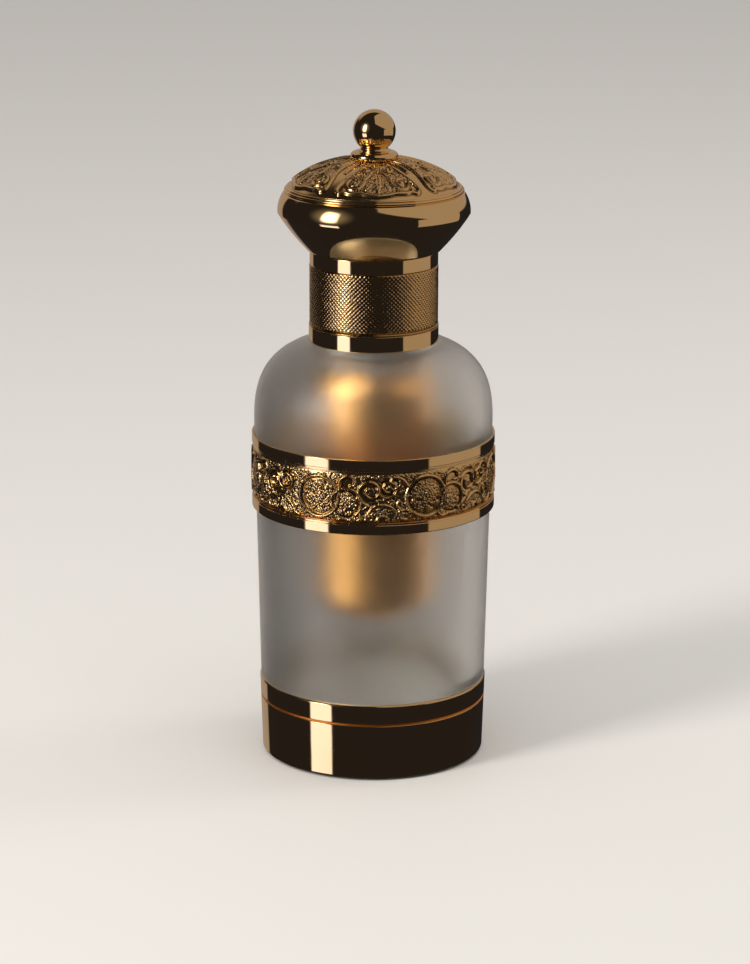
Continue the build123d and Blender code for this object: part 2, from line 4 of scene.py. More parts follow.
import bpy
import numpy as np
from mathutils import Matrix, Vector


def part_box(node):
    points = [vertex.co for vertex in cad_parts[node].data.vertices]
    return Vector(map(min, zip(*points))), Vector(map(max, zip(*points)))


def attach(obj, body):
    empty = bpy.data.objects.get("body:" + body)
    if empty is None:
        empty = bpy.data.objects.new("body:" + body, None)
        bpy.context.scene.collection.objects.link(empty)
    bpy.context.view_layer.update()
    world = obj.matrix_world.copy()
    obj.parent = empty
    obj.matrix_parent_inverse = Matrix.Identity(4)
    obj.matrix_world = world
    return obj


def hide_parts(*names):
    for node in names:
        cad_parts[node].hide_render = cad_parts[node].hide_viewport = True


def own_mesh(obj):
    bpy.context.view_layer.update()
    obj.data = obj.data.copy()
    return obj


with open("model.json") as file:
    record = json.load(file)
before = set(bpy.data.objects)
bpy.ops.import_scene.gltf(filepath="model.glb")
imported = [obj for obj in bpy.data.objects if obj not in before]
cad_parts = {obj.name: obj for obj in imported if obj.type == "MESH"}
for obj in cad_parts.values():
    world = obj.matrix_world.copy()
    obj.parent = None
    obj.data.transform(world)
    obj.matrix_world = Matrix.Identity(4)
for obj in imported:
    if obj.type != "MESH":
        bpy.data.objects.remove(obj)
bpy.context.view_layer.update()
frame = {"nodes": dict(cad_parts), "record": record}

# Lengths in this script are millimetres, turned into metres where a mesh or a light is made.
MM = 0.001
# Size of the beads on the cast relief.
BEAD = 0.46
# A lathe point nearer to the axis than this is a pole.
ON_AXIS = 1e-6
# Gap between the glass and the hoops and relief round it.
GLASS_GAP = 0.05

# Gold plate, linear: as polished, where it is palest, darkened in recesses as painted shade, and where it is
# unpolished.
GOLD = (0.92, 0.62, 0.27)
GOLD_PALE = (0.96, 0.70, 0.36)
GOLD_PAINTED_SHADE = (0.42, 0.23, 0.065)
GOLD_RED = (0.95, 0.42, 0.08)


# ---- Materials ----
# They read two point values of the meshes. "depth" is 1 in the grooves of polished gold, 0 in the
# recesses of relief and knurl and 1 on their crests, where it places their painted shade, and on
# glass the share of the full frost.
# "grain" is how beaded the relief is.


def add_node(tree, kind, inputs=(), **settings):
    """Adds a node. Each input is a socket to link or a constant."""
    made = tree.nodes.new(kind)
    for key, value in settings.items():
        setattr(made, key, value)
    for key, value in dict(inputs).items():
        if isinstance(value, bpy.types.NodeSocket):
            tree.links.new(value, made.inputs[key])
        else:
            made.inputs[key].default_value = value
    return made


class Shader:
    """A node material with one Principled shader, and short ways to add texture nodes to it."""

    def __init__(self, name, **constants):
        self.material = bpy.data.materials.new(name)
        self.material.use_nodes = True
        self.tree = self.material.node_tree
        self.surface = self.tree.nodes["Principled BSDF"]
        self.place = self.tree.nodes.new("ShaderNodeTexCoord").outputs["Object"]
        for key, value in constants.items():
            self.set(key.replace("_", " "), value)

    def node(self, kind, inputs=(), **settings):
        return add_node(self.tree, kind, inputs, **settings)

    def mark(self, name):
        """A point value of the mesh."""
        return self.node("ShaderNodeAttribute", attribute_name=name).outputs["Fac"]

    def combine(self, operation, *values):
        inputs = dict(enumerate(values))
        return self.node("ShaderNodeMath", inputs, operation=operation).outputs[0]

    def noise(self, size, detail=2.0, roughness=0.5):
        """Noise whose blotches are about size millimetres across."""
        values = {"Vector": self.place, "Scale": 1 / (size * MM), "Detail": detail, "Roughness": roughness}
        return self.node("ShaderNodeTexNoise", values).outputs["Fac"]

    def span(self, value, low, high, start=0.3, end=0.7):
        """value, which varies from start to end, stretched to run from low to high."""
        values = {"Value": value, "From Min": start, "From Max": end, "To Min": low, "To Max": high}
        return self.node("ShaderNodeMapRange", values).outputs["Result"]

    def blend(self, share, first, second):
        """Colour mix: first where share is 0, second where it is 1."""
        inputs = {0: share}
        for index, colour in ((6, first), (7, second)):
            inputs[index] = colour if isinstance(colour, bpy.types.NodeSocket) else (*colour, 1.0)
        return self.node("ShaderNodeMix", inputs, data_type="RGBA").outputs[2]

    def bump(self, height, strength, distance):
        """Bump that stands distance millimetres proud."""
        values = {"Height": height, "Strength": strength, "Distance": distance * MM}
        made = self.node("ShaderNodeBump", values)
        self.tree.links.new(made.outputs["Normal"], self.surface.inputs["Normal"])

    def set(self, socket, value):
        if isinstance(value, bpy.types.NodeSocket):
            self.tree.links.new(value, self.surface.inputs[socket])
        else:
            self.surface.inputs[socket].default_value = value


def polished_gold(name):
    """Mirror-polished plate, with faint wipe marks and a slightly uneven colour. In grooves it is
    left unpolished and redder."""
    shader = Shader(name, Metallic=1.0)
    groove = shader.mark("depth")
    plate = shader.blend(shader.noise(9.0), GOLD, GOLD_PALE)
    wiped = shader.span(shader.noise(4.0, 5.0, 0.65), 0.03, 0.08)
    shader.set("Base Color", shader.blend(groove, plate, GOLD_RED))
    shader.set("Roughness", shader.combine("MULTIPLY_ADD", groove, 0.36, wiped))
    shader.bump(shader.noise(5.0, 1.0), 0.25, 0.02)
    return shader.material


def relief_gold(name):
    """Cast and plated gold, beaded on its ground, with painted shade that turns it brown in the recesses."""
    shader = Shader(name, Metallic=1.0)
    grain = shader.noise(0.5, 3.0, 0.6)
    uneven = shader.combine("ADD", shader.mark("depth"), shader.span(grain, -0.12, 0.12))
    # Painted shade: brown gold where the crevice mark is low, its edge broken by the grain noise.
    recess_shade = shader.span(uneven, 0.9, 0.0, 0.05, 0.55)
    shader.set("Base Color", shader.blend(recess_shade, GOLD, GOLD_PAINTED_SHADE))
    shader.set("Roughness", shader.span(grain, 0.12, 0.22))
    cells = {"Vector": shader.place, "Scale": 1 / (BEAD * MM)}
    gap = shader.node("ShaderNodeTexVoronoi", cells, feature="F1").outputs["Distance"]
    shown = shader.combine("MULTIPLY", shader.span(gap, 1.0, 0.0, 0.0, 0.65), shader.mark("grain"))
    shader.bump(shader.combine("MULTIPLY_ADD", shader.noise(0.22, 2.0, 0.7), 0.12, shown), 0.9, 0.19)
    return shader.material


def knurl_gold(name):
    """Fine cut gold, with painted shade that darkens it at the bottom of the cuts."""
    shader = Shader(name, Metallic=1.0)
    # Painted shade: darker gold towards the roots of the pyramids.
    recess_shade = shader.span(shader.mark("depth"), 0.75, 0.0, 0.0, 0.6)
    shader.set("Base Color", shader.blend(recess_shade, GOLD, GOLD_PAINTED_SHADE))
    shader.set("Roughness", shader.span(shader.noise(1.2, 4.0), 0.04, 0.09))
    shader.bump(shader.noise(0.45, 1.0, 0.5), 0.7, 0.07)
    return shader.material


def frosted_glass(name):
    """Acid-etched glass: milky, with a fine satin grain."""
    shader = Shader(name, Transmission_Weight=0.985, Specular_IOR_Level=0.9, IOR=1.47,
                    Sheen_Weight=0.35, Sheen_Roughness=0.35, Sheen_Tint=(0.95, 0.90, 0.84, 1.0))
    uneven = shader.noise(11.0, 3.0)
    shader.set("Base Color", shader.blend(uneven, (0.92, 0.92, 0.905), (0.97, 0.97, 0.965)))
    satin = shader.span(shader.noise(7.0, 5.0, 0.6), 0.34, 0.42)
    shader.set("Roughness", shader.combine("MULTIPLY", shader.mark("depth"), satin))
    etching = shader.noise(0.12, 2.0, 0.8)
    shader.bump(shader.combine("MULTIPLY_ADD", etching, 0.18, shader.noise(3.0, 1.5, 0.5)), 0.9, 0.12)
    return shader.material


def lacquered_gold(name):
    """Glass sprayed with bright gold lacquer, which breaks up faintly."""
    shader = Shader(name, Metallic=1.0, Coat_Weight=0.3, Coat_Roughness=0.08)
    uneven = shader.noise(3.0, 4.0)
    shader.set("Base Color", shader.blend(uneven, (0.82, 0.40, 0.08), (0.95, 0.55, 0.16)))
    shader.set("Roughness", shader.span(shader.noise(2.2, 4.0), 0.32, 0.48))
    shader.bump(shader.noise(1.1, 3.0), 0.3, 0.05)
    return shader.material


def plastic(name, light, dark, roughness, grain=0.35, see_through=0.0):
    """Moulded plastic or rubber with a fine grain and a slightly uneven gloss."""
    if see_through:
        shader = Shader(name, Transmission_Weight=see_through)
    else:
        shader = Shader(name, Subsurface_Weight=0.06, Subsurface_Scale=0.0015)
    shader.set("Base Color", shader.blend(shader.noise(3.5, 3.0), light, dark))
    shader.set("Roughness", shader.span(shader.noise(1.8, 4.0), roughness - 0.07, roughness + 0.08))
    shader.bump(shader.noise(grain, 2.0), 0.3, 0.02)
    return shader.material


def plain_metal(name, light, dark, roughness, grain):
    """Ungilded metal, bright or as cast. grain is the size of its texture."""
    shader = Shader(name, Metallic=1.0)
    shader.set("Base Color", shader.blend(shader.noise(grain * 3, 4.0), light, dark))
    shader.set("Roughness", shader.span(shader.noise(grain, 4.0), roughness - 0.08, roughness + 0.1))
    shader.bump(shader.noise(grain, 3.0), 0.4, 0.04)
    return shader.material


MATERIALS = {
    "gold_metal": polished_gold("polished_gold"),
    "antique_gold": relief_gold("relief_gold"),
    "knurled_gold": knurl_gold("knurl_gold"),
    "frosted_glass": frosted_glass("frosted_glass"),
    "gold_lacquered_glass": lacquered_gold("lacquered_gold"),
    "white_plastic": plastic("white_plastic", (0.80, 0.80, 0.77), (0.70, 0.70, 0.68), 0.42),
    "pump_plastic": plastic("pump_plastic", (0.88, 0.90, 0.90), (0.78, 0.81, 0.82), 0.3, see_through=0.7),
    "elastomer": plastic("elastomer", (0.60, 0.60, 0.58), (0.48, 0.48, 0.47), 0.6),
    "pad": plastic("foam_pad", (0.035, 0.034, 0.033), (0.018, 0.018, 0.018), 0.85, grain=0.6),
    "steel": plain_metal("steel", (0.66, 0.66, 0.67), (0.52, 0.52, 0.53), 0.24, 0.6),
    "zinc": plain_metal("cast_zinc", (0.42, 0.42, 0.43), (0.30, 0.30, 0.32), 0.5, 0.9),
}
SLOTS = {part["node"]: part["material_slot"] for part in frame["record"]["subparts"]}

for node, slot in SLOTS.items():
    solid = frame["nodes"][node]
    for place in solid.material_slots:
        place.material = MATERIALS[slot]


# ---- Mesh tools ----


def body_holding(node):
    """Name of the CAD body that a node belongs to."""
    for body, nodes in frame["record"]["behaviour"]["bodies"].items():
        if node in nodes:
            return body
    raise KeyError(node)


def link(name, data):
    """Adds an object to the scene."""
    made = bpy.data.objects.new(name, data)
    bpy.context.scene.collection.objects.link(made)
    return made


def piece(name, points, faces, node, **marks):
    """Makes a mesh from millimetre points, in the place and the finish of a CAD node. Marks are
    the point values that the materials read by name."""
    mesh = bpy.data.meshes.new(name)
    mesh.from_pydata((np.asarray(points) * MM).tolist(), [], [tuple(face) for face in faces])
    mesh.validate()
    mesh.polygons.foreach_set("use_smooth", [True] * len(mesh.polygons))
    for key, values in marks.items():
        layer = mesh.attributes.new(key, "FLOAT", "POINT")
        layer.data.foreach_set("value", np.asarray(values, dtype=np.float32))
    mesh.materials.append(MATERIALS[SLOTS[node]])
    made = link(name, mesh)
    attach(made, body_holding(node))
    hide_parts(node)
    return made


def rounded(corners, steps=4):
    """Closed outline through (radius, height, rounding) corners, each rounded, with a close pair of
    points where the rounding ends so that the flats stay flat when shaded smooth."""
    outline = []
    count = len(corners)
    for index, (radius, height, rounding) in enumerate(corners):
        here = np.array([radius, height])
        before = np.array(corners[index - 1][:2]) - here
        after = np.array(corners[(index + 1) % count][:2]) - here
        if rounding <= 0:
            outline.append(tuple(here))
            continue
        before_way = before / np.linalg.norm(before)
        after_way = after / np.linalg.norm(after)
        reach = min(rounding, 0.45 * np.linalg.norm(before), 0.45 * np.linalg.norm(after))
        outline.append(tuple(here + before_way * reach * 1.1))
        for step in range(steps + 1):
            share = step / steps
            one = here + before_way * reach * (1 - share)
            two = here + after_way * reach * share
            outline.append(tuple(one * (1 - share) + two * share))
        outline.append(tuple(here + after_way * reach * 1.1))
    return outline


def lathe(name, outline, node, segments=192, marks=None):
    """Turns a closed outline of (radius, height) about the axis. Points at radius 0 become poles.
    Marks are the "depth" of each point of the outline."""
    angles = np.linspace(0, 2 * math.pi, segments, endpoint=False)
    points, rows = [], []
    for radius, height in outline:
        if radius < ON_AXIS:
            rows.append([len(points)] * segments)
            points.append((0.0, 0.0, height))
        else:
            rows.append(range(len(points), len(points) + segments))
            points.extend((radius * math.cos(a), radius * math.sin(a), height) for a in angles)
    faces = []
    for index in range(len(rows)):
        one, two = rows[index], rows[(index + 1) % len(rows)]
        for k in range(segments):
            n = (k + 1) % segments
            corners = [one[k], one[n], two[n], two[k]]
            distinct = list(dict.fromkeys(corners))
            if len(distinct) >= 3:
                faces.append(distinct)
    depth = []
    for mark, (radius, _) in zip(marks or [0.0] * len(outline), outline):
        depth += [mark] * (1 if radius < ON_AXIS else segments)
    piece(name, points, faces, node, depth=depth)


def extent(node):
    """(radius, lowest height, highest height) of a CAD node, in millimetres."""
    low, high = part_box(node)
    return high[0] / MM, low[2] / MM, high[2] / MM


# ---- Base ----

# How much narrower the cup is at its foot than at its rim, and the drop from rim to groove.
TAPER = 0.47
GROOVE_DROP = 3.95


def make_base_cup():
    """Cup with one turned groove, open below for the foot pad."""
    radius, low, high = extent("base_cup")
    bore = 21.0
    groove = high - GROOVE_DROP
    wall_at = radius - TAPER * (high - groove) / (high - low)
    pad_radius, _, pad_top = extent("foot_pad")
    corners = [
        (0, pad_top + 0.02, 0),
        (pad_radius + 0.05, pad_top + 0.02, 0.03),
        (pad_radius + 0.05, low, 0.03),
        (radius - TAPER, low, 0.35),
        (wall_at, groove - 0.26, 0.06),
        (wall_at - 0.24, groove - 0.08, 0.06),
        (wall_at - 0.24, groove + 0.08, 0.06),
        (wall_at + 0.02, groove + 0.26, 0.06),
        (radius, high - 0.25, 0.1),
        (radius - 0.18, high, 0.1),
        (bore + 0.2, high, 0.1),
        (bore, high - 0.3, 0.1),
        (bore, pad_top + 0.8, 0.2),
        (0, pad_top + 0.8, 0),
    ]
    outline = rounded(corners)
    marks = [float(abs(height - groove) < 0.24 and out > wall_at - 0.3) for out, height in outline]
    lathe("base_cup_polished", outline, "base_cup", 256, marks=marks)


# ---- Glass ----

# The wall widens from the step over the base cup up to the shoulder, which is a superellipse about
# a point SHOULDER_CENTRE off the axis.
GLASS_RADIUS = 23.04
STEP_RADIUS = 21.93
STEP_HEIGHT = 15.35
SHOULDER_HEIGHT = 66.45
SHOULDER_CENTRE = 4.06
SHOULDER_RISE = 16.35
SHOULDER_POWER = 2.66
GLASS_WALL = 2.6
MOUTH_OUTSIDE = 12.2
MOUTH_BORE = 9.3
# The cavity is polished, so it has only this share of the frost.
INSIDE_FROST = 0.12


def superellipse(half_width, half_height, power, end_width, steps):
    """Quarter of a superellipse, as (width, height) from its widest point to end_width."""
    end_turn = math.acos((end_width / half_width) ** (power / 2))
    turns = [end_turn * step / steps for step in range(steps + 1)]
    return [
        (half_width * math.cos(turn) ** (2 / power), half_height * math.sin(turn) ** (2 / power))
        for turn in turns
    ]


def shoulder(inset, end_radius, steps=28):
    """The glass's shoulder, inset from the outside, up to end_radius."""
    quarter = superellipse(GLASS_RADIUS - SHOULDER_CENTRE - inset, SHOULDER_RISE - inset,
                           SHOULDER_POWER, end_radius - SHOULDER_CENTRE, steps)
    return [(SHOULDER_CENTRE + width, SHOULDER_HEIGHT + rise) for width, rise in quarter]


def straight(start, end, steps):
    """Evenly spaced points from start up to, but not including, end."""
    shares = [step / steps for step in range(steps)]
    return [(start[0] + (end[0] - start[0]) * s, start[1] + (end[1] - start[1]) * s) for s in shares]


def make_outer_glass():
    """Shell open at the foot and at the mouth, etched on the outside."""
    _, low, high = extent("outer_glass")
    bore, spigot = 18.3, 20.9
    ceiling = 79.3
    outside = shoulder(0, MOUTH_OUTSIDE + 0.3)
    inside = shoulder(GLASS_WALL, MOUTH_OUTSIDE)
    foot = [(bore, low, 0.3), (spigot, low, 0.3), (spigot, STEP_HEIGHT, 0.05),
            (STEP_RADIUS, STEP_HEIGHT, 0.2), (22.0, STEP_HEIGHT + 3, 0)]
    # The last corner only aims the rounding of its neighbours.
    outline = rounded(foot)[:-1]
    outline += straight((21.96, STEP_HEIGHT + 1.5), outside[0], 12)
    outline += outside
    outline += [(MOUTH_OUTSIDE, high), (MOUTH_BORE, high), (MOUTH_BORE, ceiling)]
    frosted = len(outline) - 1
    outline += inside[::-1]
    outline += straight(inside[0], (bore, low + 0.5), 12)[1:]
    marks = [1.0] * frosted + [INSIDE_FROST] * (len(outline) - frosted)
    lathe("outer_glass_frosted", outline, "outer_glass", 256, marks=marks)


def radius_of_glass(height):
    """Outer radius of the outer glass's straight wall."""
    rise = SHOULDER_HEIGHT - STEP_HEIGHT
    return STEP_RADIUS + (GLASS_RADIUS - STEP_RADIUS) * (height - STEP_HEIGHT) / rise


# ---- Relief tools: height fields on a plane, in millimetres ----


def round_top(distance, reach, power=2):
    """1 at distance 0, rounding off to 0 at reach."""
    return np.sqrt(np.clip(1 - (distance / reach) ** power, 0, 1))


class Relief:
    """A height field over points x, y. With a period, it repeats along x."""

    def __init__(self, x, y, period=None, wire=(0.5, 0.5)):
        self.x, self.y, self.period = x, y, period
        self.wire_width, self.wire_height = wire
        self.height = np.zeros_like(x)
        self.grain = np.zeros_like(x)

    def across(self, centre_x):
        """Distance along x from centre_x, to its nearest repeat."""
        gap = self.x - centre_x
        if self.period:
            gap = (gap + self.period / 2) % self.period - self.period / 2
        return gap

    def near(self, path):
        """Distance from each point to a path, and how far along the path its nearest point is."""
        best = np.full_like(self.x, 1e9)
        along = np.zeros_like(self.x)
        for index in range(len(path) - 1):
            (ax, ay), (bx, by) = path[index], path[index + 1]
            px, py = self.across(ax), self.y - ay
            dx, dy = bx - ax, by - ay
            share = np.clip((px * dx + py * dy) / (dx * dx + dy * dy + 1e-12), 0, 1)
            distance = np.hypot(px - share * dx, py - share * dy)
            closer = distance < best
            best = np.where(closer, distance, best)
            along = np.where(closer, (index + share) / (len(path) - 1), along)
        return best, along

    def raise_to(self, height, grain=0.0):
        """Raises the field to a shape. grain says how beaded the shape's surface is."""
        self.grain = np.where(height > self.height, grain, self.grain)
        self.height = np.maximum(self.height, height)

    def wire(self, path, thin_end=1.0, share=1.0):
        """Round wire along a path, share of the field's wire wide, tapering to thin_end of that."""
        distance, along = self.near(path)
        half = self.wire_width * share / 2 * (1 + (thin_end - 1) * along)
        self.raise_to(self.wire_height * round_top(distance, half) * (distance < half))

    def leaf(self, path, width, height, ribs=7):
        """Pointed leaf along a path, with a sunken vein and slanting ribs."""
        distance, along = self.near(path)
        half = width / 2 * np.sin(np.clip(along, 0.02, 1) ** 0.75 * math.pi) + 0.03
        vein = 1 - 0.45 * np.exp(-((distance / 0.10) ** 2))
        rib = 0.88 + 0.12 * np.cos(2 * math.pi * (along * ribs + distance / width))
        self.raise_to(height * round_top(distance, half) * vein * rib * (distance < half), 0.45)

    def berry(self, x, y, radius, height):
        distance = np.hypot(self.across(x), self.y - y)
        self.raise_to(height * round_top(distance, radius))

    def grains(self, inside, size, low, high, random):
        """Packs small beads, a little out of line, over the points where inside is true."""
        if not inside.any():
            return
        xs = self.x[inside]
        ys = self.y[inside]
        columns = np.arange(xs.min() - size, xs.max() + size, size)
        rows = np.arange(ys.min() - size, ys.max() + size, size * 0.87)
        for number, y in enumerate(rows):
            for x in columns:
                bead_x = x + (number % 2) * size / 2 + random.uniform(-0.18, 0.18) * size
                bead_y = y + random.uniform(-0.18, 0.18) * size
                top = low + (high - low) * random.uniform(0.35, 1.0)
                near = (np.abs(self.across(bead_x)) < size) & (np.abs(self.y - bead_y) < size) & inside
                if not near.any():
                    continue
                distance = np.hypot(self.across(bead_x)[near], self.y[near] - bead_y)
                bead = low + (top - low) * round_top(distance, size * 0.56)
                self.height[near] = np.maximum(self.height[near], bead)
        self.grain[inside] = 1.0

    def rosette(self, x, y, radius, petals, height, random, turn=0.0):
        """Domed flower: two rings of petals round a beaded heart, all with a coarse grain."""
        dx, dy = self.across(x), self.y - y
        distance = np.hypot(dx, dy) / radius
        angle = np.arctan2(dy, dx) + turn
        outer = 0.90 + 0.10 * np.abs(np.cos(angle * petals / 2))
        inner = 0.56 + 0.06 * np.abs(np.sin(angle * petals / 2))
        split = np.abs(np.cos(angle * petals / 2)) ** 0.45
        inner_split = np.abs(np.sin(angle * petals / 2)) ** 0.45
        petal = 0.62 * round_top(distance, outer, 4) * (0.45 + 0.55 * split)
        heart = (0.62 + 0.30 * round_top(distance, inner)) * (0.60 + 0.40 * inner_split)
        self.raise_to(height * np.where(distance < inner, heart, petal) * (distance < outer), 1.0)
        speckle = Relief(self.x, self.y, self.period)
        speckle.grains((distance < outer * 0.97) & (distance > 0.22), 0.50, 0.0, 0.13, random)
        self.height = self.height + speckle.height
        for step in range(petals):
            bead_turn = 2 * math.pi * step / petals
            self.berry(x + radius * 0.2 * math.cos(bead_turn), y + radius * 0.2 * math.sin(bead_turn),
                       radius * 0.09, height * 1.25)
        self.berry(x, y, radius * 0.12, height * 1.35)


def spiral(x, y, outer, inner, start, turns, hand=1, steps=48):
    """Points from the outside of a scroll in to its eye. Angles are in turns."""
    points = []
    for step in range(steps + 1):
        share = step / steps
        angle = 2 * math.pi * (start + hand * turns * share)
        radius = outer + (inner - outer) * share**0.8
        points.append((x + radius * math.cos(angle), y + radius * math.sin(angle)))
    return points


def curve(*corners, steps=8):
    """Smooth path through corners."""
    knots = np.array([corners[0], *corners, corners[-1]], dtype=float)
    points = []
    for index in range(1, len(knots) - 2):
        p0, p1, p2, p3 = knots[index - 1 : index + 3]
        for step in range(steps):
            t = step / steps
            points.append(tuple(0.5 * (2 * p1 + (p2 - p0) * t + (2 * p0 - 5 * p1 + 4 * p2 - p3) * t**2
                                       + (3 * p1 - p0 - 3 * p2 + p3) * t**3)))
    points.append(tuple(knots[-1]))
    return points


# Mask for the painted shade in the relief's crevices.
def cavity(height, reach=3, deep=0.07):
    """1 on open ground and crests, down to 0 in crevices that lie deep below the mean of their
    neighbours within reach. The field wraps across its columns."""
    steps = range(-reach, reach + 1)
    rows = np.arange(len(height))
    mean = sum(height[np.clip(rows + step, 0, len(rows) - 1)] for step in steps) / len(steps)
    mean = sum(np.roll(mean, step, axis=1) for step in steps) / len(steps)
    return np.clip(1 - (mean - height) / deep, 0, 1)


def softened(height):
    """The height field with its sharpest corners worn off."""
    for axis in (0, 1):
        height = 0.5 * height + 0.25 * (np.roll(height, 1, axis=axis) + np.roll(height, -1, axis=axis))
    return height


def round_axis(radius, angles, level):
    """Points from arrays of radius, angle and height."""
    radius, angles, level = np.broadcast_arrays(radius, angles, level)
    return np.stack([radius * np.cos(angles), radius * np.sin(angles), level], axis=-1)


def ring_grid(name, rows, node, **marks):
    """Closed surface through rings of points, where each point joins its neighbours both ways."""
    rows = np.asarray(rows)
    count, segments = rows.shape[:2]
    here = np.arange(count * segments).reshape(count, segments)
    above = np.roll(here, -1, axis=0)
    faces = np.stack([here, np.roll(here, -1, axis=1), np.roll(above, -1, axis=1), above], axis=-1)
    marks = {key: np.asarray(values).reshape(-1) for key, values in marks.items()}
    piece(name, rows.reshape(-1, 3), faces.reshape(-1, 4).tolist(), node, **marks)


# ---- Band relief ----

BAND_UNITS = 7
BAND_TURN = math.radians(-128)
BAND_GROUND = 23.14
UNIT_COLUMNS = 168
BAND_ROWS = 80
HOOP_RADIUS = 23.5
# Fine step of each hoop next to the relief: its height and its depth.
HOOP_STEP = 0.32
HOOP_STEP_IN = 0.12


def band_unit():
    """One repeat of the band: rosettes in wire scrolls, berries, leaves and a fan. Gives the height
    field, the grain, the levels of its rows, and the band's lowest and highest level."""
    low, high = (corner[2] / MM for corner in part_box("band_relief"))
    width = 2 * math.pi * BAND_GROUND / BAND_UNITS
    half = (high - low) / 2
    xs = np.arange(UNIT_COLUMNS) * width / UNIT_COLUMNS
    ys = np.linspace(-half, half, BAND_ROWS)
    relief = Relief(*np.meshgrid(xs, ys), period=width, wire=(0.50, 0.54))
    random = np.random.default_rng(7)
    eye_x, eye_y = 14.9, 1.15

    relief.rosette(4.9, -0.2, 3.35, 9, 0.42, random)
    relief.wire(spiral(4.9, -0.2, 4.15, 3.85, 0.62, -0.98))
    for tendril in (
        [(1.35, 1.9), (0.2, 3.4), (-1.3, 3.9), (-2.3, 2.8), (-1.7, 1.6), (-0.8, 2.1)],
        [(2.3, -3.5), (1.0, -4.35), (-0.4, -3.9), (-0.5, -2.7), (0.4, -2.5)],
        [(7.3, -3.6), (8.2, -4.4), (9.6, -4.1)],
    ):
        relief.wire(curve(*tendril), 0.7)
    relief.berry(-1.35, 2.55, 0.5, 0.28)
    relief.berry(0.25, -3.2, 0.42, 0.27)

    relief.rosette(10.35, -1.35, 2.35, 7, 0.40, random, turn=0.4)
    relief.wire(spiral(10.35, -1.2, 3.0, 2.75, 0.47, -0.62))
    hook = curve((9.0, 1.5), (9.2, 3.3), (10.5, 4.1), (11.8, 3.6), (11.9, 2.5), (11.0, 2.2))
    relief.wire(hook, 0.7)
    relief.leaf(curve((7.5, 3.1), (8.2, 4.0), (9.3, 4.3)), 1.0, 0.22, 4)
    relief.leaf(curve((12.6, 0.8), (12.3, 2.6), (12.9, 4.2)), 1.3, 0.24, 6)

    relief.wire(spiral(eye_x, eye_y, 2.75, 0.75, 0.72, -1.35), 0.75)
    for step in range(6):
        turn = step / 6 * 2 * math.pi
        relief.berry(eye_x + 0.52 * math.cos(turn), eye_y + 0.52 * math.sin(turn), 0.30, 0.26)
    relief.berry(eye_x, eye_y, 0.36, 0.33)
    hook = curve((14.4, -1.6), (13.3, -2.4), (12.9, -3.5), (13.6, -4.3), (14.6, -4.0), (14.5, -3.2))
    relief.wire(hook, 0.7)
    relief.berry(13.75, -3.45, 0.42, 0.27)
    relief.wire(spiral(18.3, 1.75, 2.15, 0.7, 0.5, 1.25), 0.75)
    relief.berry(18.3, 1.75, 0.55, 0.30)
    relief.leaf(curve((16.6, 4.0), (17.5, 4.5), (19.0, 4.4)), 0.9, 0.22, 4)

    fan_x, fan_y = 17.1, -4.55
    dx, dy = relief.across(fan_x), relief.y - fan_y
    reach, turn = np.hypot(dx, dy), np.arctan2(dy, dx)
    scallop = 2.9 + 0.18 * np.abs(np.cos(turn * 5))
    fan = (reach < scallop) & (dy > 0)
    relief.raise_to(np.where(fan, 0.12 + 0.10 * np.abs(np.sin(turn * 5)) * (0.3 + reach / 3), 0))
    relief.grains(fan & (reach > 1.0), 0.46, 0.12, 0.27, random)
    relief.wire(spiral(fan_x, fan_y, 3.15, 3.15, 0.02, 0.46), share=0.85)
    relief.wire(spiral(fan_x, fan_y, 1.0, 1.0, 0.0, 0.5), share=0.8)
    relief.wire(curve((20.2, -4.2), (20.7, -2.9), (19.9, -1.6), (20.2, -0.6)), 0.8)
    relief.leaf(curve((12.2, 0.1), (13.0, -0.9), (14.2, -1.3), (15.4, -0.9)), 0.9, 0.23, 5)
    relief.leaf(curve((19.6, -1.4), (20.6, -0.4), (21.0, 1.0)), 1.0, 0.23, 5)
    for x, y in ((8.35, 0.6), (8.9, 1.35), (8.15, 1.7), (8.8, 2.3), (7.9, 2.6)):
        relief.berry(x, y, 0.40, 0.27)
    for x, y in ((1.1, 0.2), (0.55, -0.5), (0.35, 0.8), (-0.3, 0.1), (-0.2, -1.1), (-0.9, -0.5)):
        relief.berry(x, y, 0.38, 0.26)
    relief.leaf(curve((2.4, 3.1), (3.4, 4.1), (4.8, 4.5)), 0.9, 0.22, 4)
    relief.leaf(curve((16.1, -0.4), (17.3, -1.1), (18.8, -1.0)), 0.9, 0.23, 5)
    relief.leaf(curve((16.2, 3.2), (16.6, 1.9), (16.4, 0.6)), 0.8, 0.23, 5)
    # The ground inside the scrolls stays bare; the rest of it is beaded.
    loops = np.zeros_like(relief.x, dtype=bool)
    for x, y, radius in ((eye_x, eye_y, 2.6), (18.3, 1.75, 2.0), (10.5, 2.9, 1.2), (-1.3, 2.7, 0.9),
                         (4.9, -0.2, 3.9), (10.35, -1.25, 2.85)):
        loops |= np.hypot(relief.across(x), relief.y - y) < radius
    relief.grains((relief.height < 0.02) & ~loops, 0.52, 0.06, 0.24, random)

    margin = np.clip((half - 0.45 - np.abs(relief.y + 0.1)) / 0.25, 0, 1)
    return softened(relief.height * margin), relief.grain * margin, ys + (low + high) / 2, low, high


